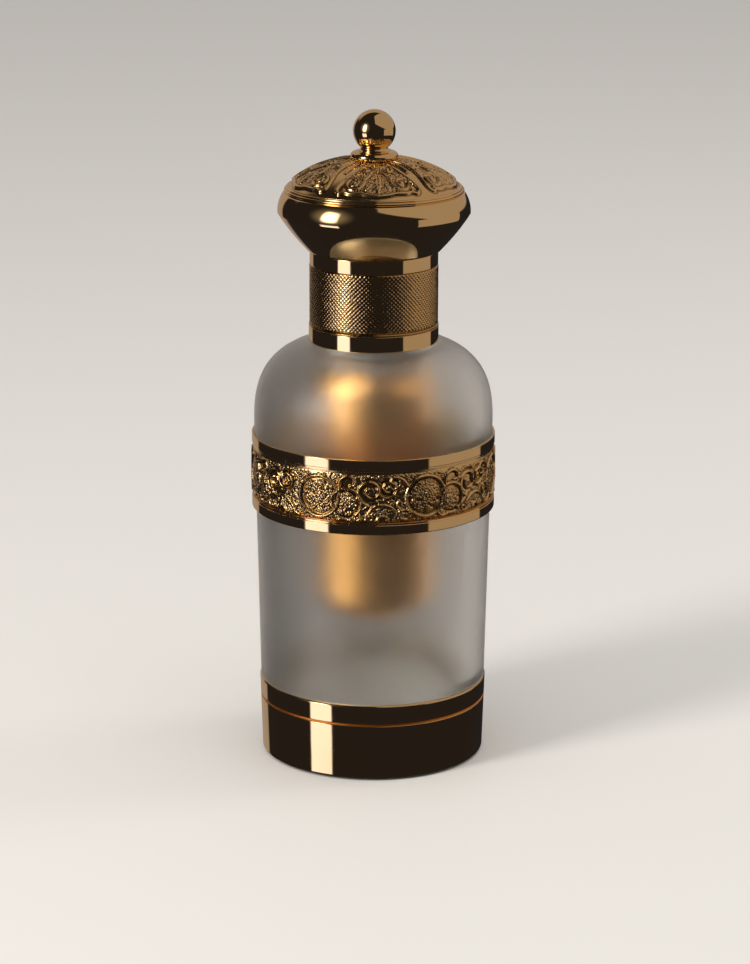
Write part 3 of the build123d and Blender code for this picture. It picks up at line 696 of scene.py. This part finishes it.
def make_band_relief():
    """The repeats set side by side round the glass, closed by a wall along the glass."""
    height, grain, levels, low, high = band_unit()
    field = np.tile(height, (1, BAND_UNITS))
    flat = np.zeros((1, field.shape[1]))
    segments = field.shape[1]
    angles = BAND_TURN + np.arange(segments) * 2 * math.pi / segments
    bore_low, bore_high = (radius_of_glass(end) + GLASS_GAP for end in (low, high))
    radius = np.vstack([np.full(segments, bore_low), BAND_GROUND + field, np.full(segments, bore_high)])
    level = np.concatenate([[low], levels, [high]])
    rows = round_axis(radius, angles, level[:, None])
    # The depth mark places the painted shade in the crevices of the band relief.
    depth = np.vstack([flat + 1, cavity(field), flat + 1])
    beaded = np.vstack([flat, np.tile(grain, (1, BAND_UNITS)), flat])
    ring_grid("band_scrollwork", rows, "band_relief", depth=depth, grain=beaded)


def make_hoop(node):
    """Smooth hoop with a fine step on the side of the relief."""
    _, low, high = extent(node)
    edge, slope = 0.16, 0.06
    bore_low, bore_high = (radius_of_glass(end) + GLASS_GAP for end in (low, high))
    inner = HOOP_RADIUS - HOOP_STEP_IN
    if node == "band_upper_hoop":
        corners = [(inner, low, 0.05), (inner, low + HOOP_STEP, 0.03),
                   (HOOP_RADIUS, low + HOOP_STEP + slope, 0.04), (HOOP_RADIUS, high, edge)]
    else:
        corners = [(HOOP_RADIUS, low, edge), (HOOP_RADIUS, high - HOOP_STEP - slope, 0.04),
                   (inner, high - HOOP_STEP, 0.03), (inner, high, 0.05)]
    corners = [(bore_low, low, 0), *corners, (bore_high, high, 0)]
    lathe(node + "_polished", rounded(corners), node, 256)


# ---- Collar ----

KNURL_AROUND = 94
KNURL_ROWS = 28
KNURL_CREST = 12.33
KNURL_ROOT = 12.21
# Share of each pyramid's width that its flat top takes, and how uneven the tops' corners are.
KNURL_FLAT = 0.5
KNURL_UNEVEN = 0.025
SLEEVE_BORE = 11.45
LIP_HEIGHT = 0.5


def make_knurl():
    """Diamond knurl: rows of blunt pyramids, each with a small flat top."""
    _, low, high = extent("knurled_sleeve")
    low += LIP_HEIGHT
    step_z = (high - low) / KNURL_ROWS
    step_a = math.pi / KNURL_AROUND

    random = np.random.default_rng(5)
    points, depth, faces = [], [], []
    known = {}

    def point(a, b, radius, mark=0):
        """Number of the point at a steps round and b steps up, made where there is none yet."""
        key = (round(a % (2 * KNURL_AROUND), 3), round(b, 3), radius)
        if key not in known:
            known[key] = len(points)
            angle = a * step_a
            points.append((radius * math.cos(angle), radius * math.sin(angle), low + b * step_z))
            depth.append(mark)
        return known[key]

    for b in range(KNURL_ROWS + 1):
        for a in range(b % 2, 2 * KNURL_AROUND, 2):
            if b in (0, KNURL_ROWS):
                side = 1 if b == 0 else -1
                corners = [point(a - 1, b, KNURL_ROOT), point(a + 1, b, KNURL_ROOT),
                           point(a, b + side, KNURL_ROOT)]
                faces.append(corners if side > 0 else corners[::-1])
                continue
            ways = [(1, 0), (0, 1), (-1, 0), (0, -1)]
            root = [point(a + x, b + z, KNURL_ROOT) for x, z in ways]
            tops = KNURL_CREST + random.uniform(-KNURL_UNEVEN, KNURL_UNEVEN, 4)
            # Crest points get depth 1 and root points 0, which places the painted shade at the roots.
            crest = [point(a + x * KNURL_FLAT, b + z * KNURL_FLAT, top, 1)
                     for (x, z), top in zip(ways, tops)]
            faces.append(crest)
            for k in range(4):
                n = (k + 1) % 4
                faces.append([root[k], root[n], crest[n], crest[k]])
    # The sleeve's underside, top and bore.
    foot, head = 0, KNURL_ROWS
    for k in range(KNURL_AROUND):
        a, n = 2 * k - 1, 2 * k + 1
        for corners in (
            [(n, foot, KNURL_ROOT), (a, foot, KNURL_ROOT), (a, foot, SLEEVE_BORE), (n, foot, SLEEVE_BORE)],
            [(a, head, KNURL_ROOT), (n, head, KNURL_ROOT), (n, head, SLEEVE_BORE), (a, head, SLEEVE_BORE)],
            [(n, foot, SLEEVE_BORE), (a, foot, SLEEVE_BORE), (a, head, SLEEVE_BORE), (n, head, SLEEVE_BORE)],
        ):
            faces.append([point(*corner) for corner in corners])
    piece("knurl_diamonds", points, faces, "knurled_sleeve", depth=depth)


def make_collar_rings():
    """The rolled lip under the knurl, and the smooth rings below and above it. Each ring has a
    flange that reaches in over the closure."""
    _, low, _ = extent("knurled_sleeve")
    lip = [(SLEEVE_BORE, low, 0), (12.40, low, 0.1), (12.46, low + 0.24, 0.16),
           (12.26, low + LIP_HEIGHT, 0.1), (SLEEVE_BORE, low + LIP_HEIGHT, 0)]
    lathe("knurl_lip", rounded(lip), "knurled_sleeve")
    radius, low, high = extent("collar_lower_ring")
    bore, flange = 10.5, 0.4
    corners = [(bore, low, 0), (radius, low, 0.16), (radius, high, 0.14), (SLEEVE_BORE, high, 0),
               (SLEEVE_BORE, low + flange, 0), (bore, low + flange, 0)]
    lathe("collar_lower_ring_polished", rounded(corners), "collar_lower_ring")
    radius, low, high = extent("collar_upper_ring")
    bore, flange = 10.95, 0.6
    corners = [(SLEEVE_BORE, low, 0), (radius, low, 0.12), (radius, high, 0.18), (bore, high, 0),
               (bore, high - flange, 0), (SLEEVE_BORE, high - flange, 0)]
    lathe("collar_upper_ring_polished", rounded(corners), "collar_upper_ring")


# ---- Pump spring ----


def make_spring():
    """Coil that rides on the stem."""
    low, high = (corner[2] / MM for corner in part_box("pump_spring"))
    wire, coil, turns = 0.3, 2.4, 5
    around, steps = 12, 40 * turns
    rings = []
    for step in range(steps + 1):
        turn = 2 * math.pi * turns * step / steps
        out = np.array([math.cos(turn), math.sin(turn), 0])
        centre = out * coil + np.array([0, 0, low + wire + (high - low - 2 * wire) * step / steps])
        for k in range(around):
            tilt = 2 * math.pi * k / around
            rings.append(centre + wire * (out * math.cos(tilt) + np.array([0, 0, math.sin(tilt)])))
    faces = [list(range(around)), list(range(steps * around, (steps + 1) * around))[::-1]]
    for step in range(steps):
        for k in range(around):
            n = (k + 1) % around
            one, two = step * around, (step + 1) * around
            faces.append([one + k, two + k, two + n, one + n])
    made = piece("spring_coil", rings, faces, "pump_spring", depth=np.zeros(len(rings)))
    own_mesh(made)


# ---- Cap ----

EQUATOR = 107.38
CAP_RADIUS = 18.39
DOME_RISE = 9.94
BOWL_DROP = 15.2
BOWL_POWER = 1.32
SHELL = 0.8
DOME_EDGE = 16.3
DOME_HOLE = 1.1
# Radius and drop of the edge just under the equator, then how fast the radius shrinks with the drop
# at that edge and at the mouth.
BOWL_EDGE = (18.3, 0.5)
BOWL_SLOPES = (0.62, 0.96)
BOWL_MOUTH = 12.8
# Bore of the bowl's turned-in lip, and where the inside meets it.
BOWL_BORE = 11.85
BOWL_INSIDE_END = 13.3


def bowl_inside(steps=28):
    """Inner surface of the bowl, from the equator down to its lip."""
    quarter = superellipse(CAP_RADIUS - SHELL, BOWL_DROP - SHELL, BOWL_POWER, BOWL_INSIDE_END, steps)
    return [(width, EQUATOR - drop) for width, drop in quarter]


def bowl_outside(steps=28):
    """Outer surface of the bowl below its edge: nearly a cone, flatter towards the mouth."""
    radius, drop = BOWL_EDGE
    first, last = BOWL_SLOPES
    length = 2 * (radius - BOWL_MOUTH) / (first + last)
    downs = [length * step / steps for step in range(steps + 1)]
    return [(radius - first * down - (last - first) / (2 * length) * down**2, EQUATOR - drop - down)
            for down in downs]


def dome(radius, inset=0.0):
    """Height of the dome's smooth surface, or of one that lies inset under it."""
    return EQUATOR + (DOME_RISE - inset) * math.sqrt(max(0, 1 - (radius / (CAP_RADIUS - inset)) ** 2))


def make_cap_bowl():
    """Shell from the lip round the collar up past the equator to the bead."""
    edge = [(CAP_RADIUS, EQUATOR), (CAP_RADIUS, EQUATOR - 0.28), (CAP_RADIUS - 0.03, EQUATOR - 0.42)]
    outside = (edge + bowl_outside())[::-1]
    inside = bowl_inside()
    lip = outside[0][1]
    first, steps = 0.04, 8
    last = math.acos(17.05 / CAP_RADIUS)
    turns = [first + (last - first) * step / steps for step in range(steps + 1)]
    crown = [(CAP_RADIUS * math.cos(t), EQUATOR + DOME_RISE * math.sin(t)) for t in turns]
    rim = 16.62
    outline = [(BOWL_BORE, lip), (BOWL_MOUTH - 0.1, lip)] + outside + crown
    outline += [(rim, dome(rim, SHELL))] + inside + [(BOWL_BORE, inside[-1][1])]
    lathe("cap_bowl_polished", outline, "cap_bowl", 288)


def make_cap_bead():
    """Two rolls side by side, which lean with the dome's slope."""
    size = 0.27
    outer, inner = 16.85, 16.5
    slope = math.atan2(dome(inner) - dome(outer), 0.35)
    outline = [(16.3, dome(16.3, SHELL)), (16.75, dome(16.75, SHELL)), (17.02, dome(17.02) - 0.02)]
    for radius in (outer, inner):
        height = dome(radius)
        for step in range(13):
            turn = (math.pi / 2 - slope) + math.pi * (step / 12 - 0.5) * 0.92
            outline.append((radius + size * math.cos(turn), height + size * math.sin(turn)))
    outline.append((16.24, dome(16.24) - 0.03))
    lathe("cap_double_bead", outline, "cap_bead", 288)


LOBES = 5
LOBE_TURN = math.radians(-87)
DOME_COLUMNS = 720
DOME_RINGS = 112


def dome_relief(x, y):
    """Height field and grain of the dome in plan: a palmette on each lobe, with its axis along +y,
    and a wire between two lobes."""
    turn = 2 * math.pi / LOBES
    angle = np.arctan2(y, x) - LOBE_TURN
    local = (angle + turn / 2) % turn - turn / 2
    reach = np.hypot(x, y)
    wire = (0.60, 0.46)
    lobe = Relief(reach * np.sin(local), reach * np.cos(local), wire=wire)
    beside = angle % turn - turn / 2
    gap = Relief(reach * np.sin(beside), reach * np.cos(beside), wire=wire)
    random = np.random.default_rng(11)

    edge = curve((1.7, 4.2), (2.6, 6.4), (4.2, 8.8), (6.3, 10.9), (7.6, 12.4), (7.35, 13.5), (6.2, 13.75),
                 (5.0, 14.35), (3.4, 14.75), (1.7, 15.35), (0, 15.6))
    outline = np.array(edge)
    limit = np.interp(lobe.y, outline[:20, 1], outline[:20, 0])
    inside = (np.abs(lobe.x) < limit) & (lobe.y > 4.2) & (lobe.y < 15.3)
    inside &= np.hypot(lobe.x, lobe.y) < 15.35
    lobe.raise_to(np.where(inside, 0.08, 0.0))
    lobe.grains(inside, 0.56, 0.08, 0.22, random)

    for side in (1, -1):

        def mirror(path):
            return [(side * x, y) for x, y in path]

        lobe.wire(mirror(edge))
        lobe.wire(mirror(spiral(4.35, 12.1, 2.15, 0.55, 0.60, -1.5)), 0.7, 0.9)
        lobe.wire(mirror(curve((0.9, 9.2), (1.5, 10.6), (2.4, 11.7))), share=0.9)
        lobe.wire(mirror(spiral(1.95, 8.2, 1.35, 0.35, 0.55, 1.4)), 0.7, 0.85)
        lobe.leaf(mirror(curve((2.6, 9.0), (4.2, 9.9), (5.9, 10.6), (6.9, 11.9))), 1.25, 0.40, 8)
        lobe.leaf(mirror(curve((0.8, 5.4), (1.9, 6.3), (3.1, 7.6), (3.6, 8.6))), 1.1, 0.38, 6)
        lobe.leaf(mirror(curve((0.7, 11.2), (1.3, 12.6), (1.9, 13.6), (2.1, 14.5))), 1.15, 0.40, 6)
        lobe.berry(side * 4.35, 12.1, 0.62, 0.52)
        lobe.berry(side * 1.95, 8.2, 0.42, 0.46)
        lobe.berry(side * 6.35, 13.1, 0.36, 0.46)
    lobe.leaf(curve((0, 4.3), (0, 7.0), (0, 9.6)), 1.5, 0.42, 9)
    lobe.leaf(curve((0, 9.8), (0, 12.4), (0, 15.3)), 1.7, 0.46, 10)

    gap.wire(curve((0, 4.4), (0, 7.0), (0, 9.8)))
    heights = np.maximum(lobe.height, gap.height)
    collar = np.clip((reach - 4.0) / 0.4, 0, 1) * np.clip((16.1 - reach) / 0.3, 0, 1)
    return softened(heights * collar), lobe.grain * collar


def make_dome():
    """Shell whose outside carries the palmettes, each point raised square to the smooth dome."""
    radii = np.concatenate([[DOME_HOLE, 2.6], np.linspace(3.9, DOME_EDGE, DOME_RINGS)])
    angles = np.arange(DOME_COLUMNS) * 2 * math.pi / DOME_COLUMNS
    reach, turn = np.meshgrid(radii, angles, indexing="ij")
    field, grain = dome_relief(reach * np.cos(turn), reach * np.sin(turn))
    slope = (DOME_RISE / CAP_RADIUS) * (reach / CAP_RADIUS) / np.sqrt(1 - (reach / CAP_RADIUS) ** 2)
    lean = np.arctan(slope)
    radius = reach + field * np.sin(lean)
    level = EQUATOR + DOME_RISE * np.sqrt(1 - (reach / CAP_RADIUS) ** 2) + field * np.cos(lean)
    under = [round_axis(inner, angles, dome(inner, SHELL))
             for inner in (DOME_HOLE, 6.0, 11.0, 14.0, DOME_EDGE - 0.4)]
    rows = np.concatenate([np.array(under), round_axis(radius, turn, level)[::-1]])
    flat = np.zeros((len(under), DOME_COLUMNS))
    # The depth mark places the painted shade in the crevices of the dome relief.
    depth = np.concatenate([flat + 1, cavity(field)[::-1]])
    ring_grid("dome_palmettes", rows, "cap_dome", depth=depth, grain=np.concatenate([flat, grain[::-1]]))


# ---- Finial ----


def make_finial():
    """Rounded disc, flatter below its middle, and the ball with its flared waist and stud."""
    radius, low, high = extent("finial_flange")
    middle = (low + high) / 2 - 0.1
    outline = [(DOME_HOLE, low + 0.22), (radius - 0.5, low)]
    for step in range(1, 16):
        turn = math.pi * (step / 16 - 0.5)
        spread = 1.4 if turn > 0 else 0.5
        rise = high - middle if turn > 0 else middle - low
        outline.append((radius - spread + spread * math.cos(turn) ** 0.9, middle + rise * math.sin(turn)))
    outline += [(radius - 1.4, high), (DOME_HOLE, high)]
    lathe("finial_disc_polished", outline, "finial_flange", 128)

    _, low, high = extent("finial_ball")
    ball, waist, stud = 4.06, 2.6, 1.0
    flare, foot = 0.44, 118.7
    centre = high - ball
    outline = [(0, low), (stud, low), (stud, foot), (waist + 0.5, foot), (waist + flare, foot + 0.05)]
    outline += [(waist + flare * (1 - share) ** 2, foot + 0.05 + 0.62 * share)
                for share in (0.2, 0.4, 0.6, 0.8)]
    start = -math.acos(waist / ball)
    steps = 32
    for step in range(steps):
        turn = start + (math.pi / 2 - start) * step / steps
        outline.append((ball * math.cos(turn), centre + ball * math.sin(turn)))
    outline.append((0.0, high))
    lathe("finial_ball_polished", outline, "finial_ball", 128)


make_base_cup()
make_outer_glass()
make_hoop("band_lower_hoop")
make_hoop("band_upper_hoop")
make_band_relief()
make_knurl()
make_collar_rings()
make_spring()
make_cap_bowl()
make_cap_bead()
make_dome()
make_finial()


# ---- Camera, light and floor ----

# The camera as fitted to the photograph's visible rings.
FOCAL_PX = 3341.0
FRAME_PX = 964.0
SENSOR = 36.0
PITCH = math.radians(15.364)
ROLL = math.radians(0.2)
DISTANCE = 649.2
AIM = (0.36, 0.0, 53.68)
FLOOR_HALF_M = 14.0
# Degrees in a radian, for the shader's angles.
RADIAN = 57.29578


def direction_to(azimuth, elevation):
    """Unit vector, where azimuth 0 is towards -Y and grows towards +X. Angles are in radians."""
    flat = math.cos(elevation)
    return (math.sin(azimuth) * flat, -math.cos(azimuth) * flat, math.sin(elevation))


def make_camera():
    data = bpy.data.cameras.new("camera")
    data.sensor_width = SENSOR
    data.lens = FOCAL_PX / FRAME_PX * SENSOR
    data.clip_start = 0.01
    data.clip_end = 20
    camera = link("camera", data)
    camera.location = (AIM[0] * MM, (AIM[1] - DISTANCE * math.cos(PITCH)) * MM,
                       (AIM[2] + DISTANCE * math.sin(PITCH)) * MM)
    turn = Matrix.Rotation(math.pi / 2 - PITCH, 3, "X") @ Matrix.Rotation(ROLL, 3, "Z")
    camera.rotation_euler = turn.to_euler()
    bpy.context.scene.camera = camera


def make_floor():
    """Plain pale floor, which the gold and the glass don't show."""
    size = FLOOR_HALF_M
    mesh = bpy.data.meshes.new("floor")
    corners = [(-size, -size, 0), (size, -size, 0), (size, size, 0), (-size, size, 0)]
    mesh.from_pydata(corners, [], [(0, 1, 2, 3)])
    floor = link("floor", mesh)
    matt = Shader("floor", Base_Color=(0.66, 0.645, 0.62, 1.0), Roughness=0.55)
    mesh.materials.append(matt.material)
    floor.visible_glossy = False
    floor.visible_transmission = False


def make_world():
    """A sky drawn by direction, which each kind of ray sees in its own way. Camera and diffuse rays
    see a plain backdrop. Reflections see a dark studio: a strip and a glow at the left, a tan card
    at the right and a tan wall behind. Rays through the glass see soft lit fields, which make its
    frost bright. Angles are in degrees, with azimuth 0 towards -Y and growing towards +X."""
    world = bpy.data.worlds.new("studio")
    bpy.context.scene.world = world
    world.use_nodes = True
    tree = world.node_tree
    tree.nodes.clear()

    def node(kind, inputs=(), **settings):
        return add_node(tree, kind, inputs, **settings)

    def math_node(operation, first, second=0.0):
        return node("ShaderNodeMath", {0: first, 1: second}, operation=operation).outputs[0]

    def both(first, second):
        return math_node("MULTIPLY", first, second)

    def either(first, second):
        return math_node("MAXIMUM", first, second)

    def edge(value, start, end):
        """Soft step from 0 at start to 1 at end."""
        values = {"Value": value, "From Min": start, "From Max": end, "To Min": 0.0, "To Max": 1.0}
        return node("ShaderNodeMapRange", values, interpolation_type="SMOOTHSTEP").outputs["Result"]

    def window(value, low, high, soft):
        """1 between low and high, with soft ends."""
        return both(edge(value, low - soft, low + soft), edge(value, high + soft, high - soft))

    direction = node("ShaderNodeTexCoord").outputs["Generated"]
    axes = node("ShaderNodeSeparateXYZ", {"Vector": direction})
    x, y, z = axes.outputs
    azimuth = math_node("MULTIPLY", math_node("ARCTAN2", x, math_node("MULTIPLY", y, -1.0)), RADIAN)
    elevation = math_node("MULTIPLY", math_node("ARCSINE", z), RADIAN)

    def patch(az_low, az_high, el_low, el_high, soft, el_soft):
        """Upright rectangle of the sky."""
        return both(window(azimuth, az_low, az_high, soft), window(elevation, el_low, el_high, el_soft))

    def glow(az, el, size):
        """Round patch that fades out over size degrees."""
        aim = direction_to(math.radians(az), math.radians(el))
        facing = node("ShaderNodeVectorMath", {0: direction, 1: aim}, operation="DOT_PRODUCT")
        away = math_node("MULTIPLY", math_node("ARCCOSINE", facing.outputs["Value"]), RADIAN)
        return edge(away, size, 0.0)

    # The tan card at the right, the wedge that rises from it to the left over a slanting edge, the
    # wall behind, which shows at the right or high up, and a piece of wall behind at the left.
    card = patch(54, 122, -17.7, 9, 1.0, 1)
    slant = math_node("SUBTRACT", math_node("ADD", elevation, math_node("MULTIPLY", azimuth, 0.61)), 50.0)
    wedge = both(patch(6, 150, 3, 200, 2, 2), edge(slant, -1.5, 1.5))
    back = math_node("SUBTRACT", y, math_node("MULTIPLY", z, 0.275))
    behind = both(edge(back, 0.30, 0.36), edge(z, 0.0, 0.06))
    behind = both(behind, either(edge(azimuth, -5, 5), edge(elevation, 20, 34)))
    left = patch(-190, -140, -26, 38, 2, 3)
    tan = either(either(card, wedge), either(behind, left))
    # What reflections see: the strip low at the left, the bright lamp over it, its haze, the tan.
    reflected = [
        (patch(-67, -43, -25, -9, 1.2, 2), (1.40, 1.34, 1.75)),
        (patch(-63, -48, 5, 29, 6, 9), (8.0, 7.8, 7.9)),
        (glow(-55, 18, 32), (0.32, 0.29, 0.26)),
        (tan, (0.34, 0.285, 0.25)),
    ]
    # What rays through the glass see: the lamp's low and high halves, a warm field at the right, a
    # paler one behind it, and a wide field behind, brighter towards the right.
    lit = [
        (patch(-80, -34, -60, 2, 8, 10), (1.6, 1.52, 1.44)),
        (patch(-80, -34, 2, 75, 8, 10), (6.0, 5.7, 5.4)),
        (patch(48, 100, 5, 60, 8, 10), (1.0, 0.86, 0.70)),
        (patch(100, 160, -60, 60, 12, 10), (0.68, 0.635, 0.58)),
        (both(edge(y, -0.1, 0.75), edge(x, -1.6, 1.2)), (0.255, 0.232, 0.210)),
    ]

    def summed(parts, dark):
        """A dark ground with each part's colour added where its mask is."""
        total = dark
        for mask, colour in parts:
            scaled = node("ShaderNodeVectorMath", {0: colour, "Scale": mask}, operation="SCALE").outputs[0]
            total = node("ShaderNodeVectorMath", {0: scaled, 1: total}, operation="ADD").outputs[0]
        return total

    def sky(colour):
        return node("ShaderNodeBackground", {"Color": colour}).outputs[0]

    def mix(share, first, second):
        return node("ShaderNodeMixShader", {0: share, 1: first, 2: second}).outputs[0]

    path = node("ShaderNodeLightPath").outputs
    studio = sky(summed(reflected, (0.018, 0.0165, 0.020)))
    through = sky(summed(lit, (0.040, 0.036, 0.032)))
    backdrop = sky((0.62, 0.61, 0.60, 1.0))
    plain = either(path["Is Camera Ray"], path["Is Diffuse Ray"])
    bounced = mix(path["Is Transmission Ray"], studio, through)
    node("ShaderNodeOutputWorld", {"Surface": mix(plain, bounced, backdrop)})


def area_light(name, azimuth, elevation, distance, size, power, colour):
    """Soft box aimed at the middle of the bottle. It lights the matt and frosted surfaces; the
    polished ones mirror the studio instead."""
    data = bpy.data.lights.new(name, "AREA")
    data.shape = "RECTANGLE"
    data.size, data.size_y = size[0] * MM, size[1] * MM
    data.energy = power
    data.color = colour
    light = link(name, data)
    a, e = math.radians(azimuth), math.radians(elevation)
    light.location = (np.array([0, 0, 60.0]) + np.array(direction_to(a, e)) * distance) * MM
    light.rotation_euler = (math.pi / 2 - e, 0, a)
    light.visible_glossy = False
    light.visible_transmission = False


make_camera()
make_floor()
make_world()
area_light("key", -52, 35, 800, (180, 420), 3.6, (1.0, 0.95, 0.88))
area_light("overhead", 20, 78, 1500, (1200, 1200), 8.0, (1.0, 0.98, 0.95))
area_light("fill_right", 105, 20, 800, (300, 500), 1.8, (1.0, 0.97, 0.93))
bpy.context.scene.view_settings.view_transform = "Standard"
